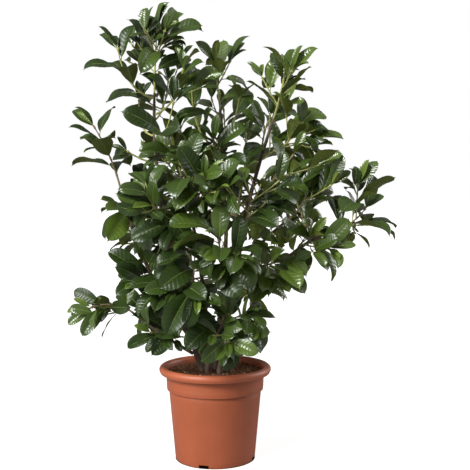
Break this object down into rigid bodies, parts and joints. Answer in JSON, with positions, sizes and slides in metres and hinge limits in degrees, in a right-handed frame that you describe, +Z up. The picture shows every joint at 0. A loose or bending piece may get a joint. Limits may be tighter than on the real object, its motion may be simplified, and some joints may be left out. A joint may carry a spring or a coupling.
{
  "type": "potted cherry laurel",
  "caption": "Evergreen broad-leaved shrub with several upright stems and glossy obovate leaves, growing in a round tapered plastic pot with a rolled rim.",
  "frame": {"origin": "middle of the pot's flat underside, on the surface that it stands on", "axes": "+Z up along the pot's axis, -Y towards the viewer of the picture, +X to the viewer's right"},
  "size_m": [0.8417, 0.6638, 1.1342],
  "materials": {
    "pot": "terracotta-coloured moulded plastic, satin",
    "soil": "moist peat-like potting soil, matt",
    "bark": "smooth dull brown bark with pale pores",
    "foliage": "leathery glossy dark green leaves on yellow-green twigs"
  },
  "bodies": {
    "root": {"back_left_stem": "bark", "back_stem": "bark", "foliage_back_left_low": "foliage", "foliage_back_left_mid": "foliage", "foliage_back_left_top": "foliage", "foliage_back_low": "foliage", "foliage_back_mid": "foliage", "foliage_back_right": "foliage", "foliage_back_top": "foliage", "foliage_far_right": "foliage", "foliage_front_left": "foliage", "foliage_front_low": "foliage", "foliage_front_mid": "foliage", "foliage_front_right_low": "foliage", "foliage_front_right_mid": "foliage", "foliage_front_right_top": "foliage", "foliage_front_top": "foliage", "foliage_leader_back": "foliage", "foliage_leader_front": "foliage", "foliage_leader_left": "foliage", "foliage_leader_low_left": "foliage", "foliage_leader_mid_left": "foliage", "foliage_leader_right": "foliage", "foliage_leader_top": "foliage", "foliage_left_back": "foliage", "foliage_left_low": "foliage", "foliage_left_mid": "foliage", "foliage_left_upper": "foliage", "foliage_low_left_back": "foliage", "foliage_low_left_skirt": "foliage", "foliage_low_left_tip": "foliage", "foliage_middle_back": "foliage", "foliage_middle_front": "foliage", "foliage_middle_left": "foliage", "foliage_middle_right": "foliage", "foliage_middle_top": "foliage", "foliage_right_back": "foliage", "foliage_right_front": "foliage", "foliage_right_hanging": "foliage", "foliage_right_inner": "foliage", "foliage_right_low": "foliage", "foliage_right_low_front": "foliage", "foliage_right_mid": "foliage", "foliage_right_outer_back": "foliage", "foliage_right_shoulder": "foliage", "foliage_right_top": "foliage", "front_right_stem": "bark", "front_stem": "bark", "leader_stem": "bark", "left_bough": "bark", "low_left_bough": "bark", "middle_stem": "bark", "pot": "pot", "right_bough": "bark", "right_mid_bough": "bark", "right_stem": "bark", "soil": "soil"}
  },
  "joints": []
}
